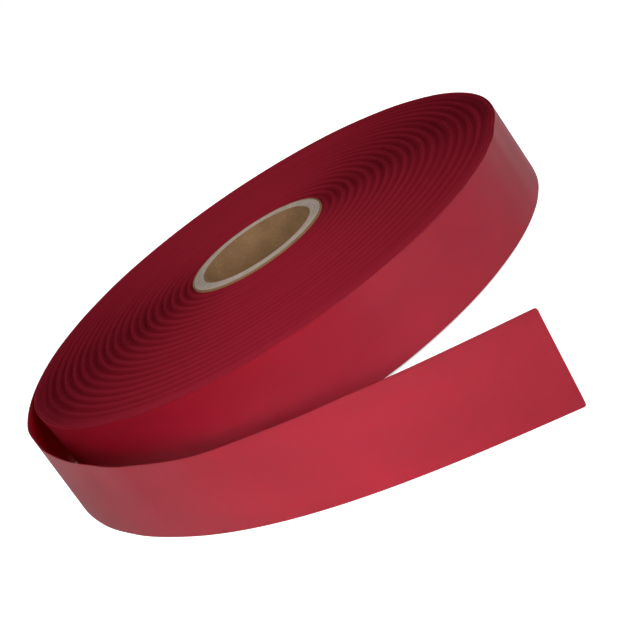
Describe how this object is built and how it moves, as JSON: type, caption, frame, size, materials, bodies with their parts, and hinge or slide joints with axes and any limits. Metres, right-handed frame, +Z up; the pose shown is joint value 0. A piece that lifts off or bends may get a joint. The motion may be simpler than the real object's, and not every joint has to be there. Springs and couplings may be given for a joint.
{
  "type": "ribbon spool",
  "caption": "Flangeless roll of satin gift ribbon wound on a paper core, its last turn loose and the free end standing out in front.",
  "frame": {"origin": "centre of the whole object's box in plan, on the plane that the core's lower end stands on", "axes": "+Z up along the roll's axis, +X to the right and +Y away from the side where the free end stands out"},
  "size_m": [0.1416, 0.1884, 0.02],
  "materials": {
    "ribbon_red": "satin",
    "kraft_paper": "matte",
    "greyboard": "matte",
    "adhesive_tape": "satin"
  },
  "bodies": {
    "roll": {"core_liner": "kraft_paper", "core_ply_1": "greyboard", "core_ply_2": "greyboard", "core_ply_3": "greyboard", "core_ply_4": "greyboard", "core_wrap": "kraft_paper", "start_tape": "adhesive_tape", "ribbon_pack": "ribbon_red"},
    "outer_turn": {"outer_turn": "ribbon_red"},
    "tail_1": {"tail_1": "ribbon_red"},
    "tail_2": {"tail_2": "ribbon_red"},
    "tail_3": {"tail_3": "ribbon_red"},
    "tail_4": {"tail_4": "ribbon_red"},
    "tail_5": {"tail_5": "ribbon_red"},
    "tail_6": {"tail_6": "ribbon_red"}
  },
  "joints": [
    {"name": "draw_off", "type": "hinge", "parent": "roll", "child": "outer_turn", "pos_m": [0.00046, 0.02389, 0], "axis": [0, 0, 1], "continuous": true},
    {"name": "peel", "type": "hinge", "parent": "outer_turn", "child": "tail_1", "pos_m": [-0.06754, 0.04123, 0.0104], "axis": [0, 0, -1], "range_deg": [0, 45], "stiffness_Nm_per_rad": 0.0003},
    {"name": "loop_curl_1", "type": "hinge", "parent": "tail_1", "child": "tail_2", "pos_m": [-0.07045, 0.01016, 0.0104], "axis": [0, 0, -1], "range_deg": [-7.5, 17], "stiffness_Nm_per_rad": 0.0003},
    {"name": "loop_curl_2", "type": "hinge", "parent": "tail_2", "child": "tail_3", "pos_m": [-0.0637, -0.02031, 0.0104], "axis": [0, 0, -1], "range_deg": [-7.5, 17], "stiffness_Nm_per_rad": 0.0003},
    {"name": "loop_curl_3", "type": "hinge", "parent": "tail_3", "child": "tail_4", "pos_m": [-0.04802, -0.0473, 0.0104], "axis": [0, 0, -1], "range_deg": [-7.5, 17], "stiffness_Nm_per_rad": 0.0003},
    {"name": "end_curl_1", "type": "hinge", "parent": "tail_4", "child": "tail_5", "pos_m": [-0.0252, -0.06863, 0.0104], "axis": [0, 0, -1], "range_deg": [-10, 10], "stiffness_Nm_per_rad": 0.0003},
    {"name": "end_curl_2", "type": "hinge", "parent": "tail_5", "child": "tail_6", "pos_m": [0.00224, -0.08363, 0.0104], "axis": [0, 0, -1], "range_deg": [-15, 15], "stiffness_Nm_per_rad": 0.0003}
  ],
  "couplings": [
    {"joint": "loop_curl_2", "follows": "loop_curl_1", "ratio": 1},
    {"joint": "loop_curl_3", "follows": "loop_curl_1", "ratio": 1},
    {"joint": "end_curl_2", "follows": "end_curl_1", "ratio": 1.5}
  ]
}
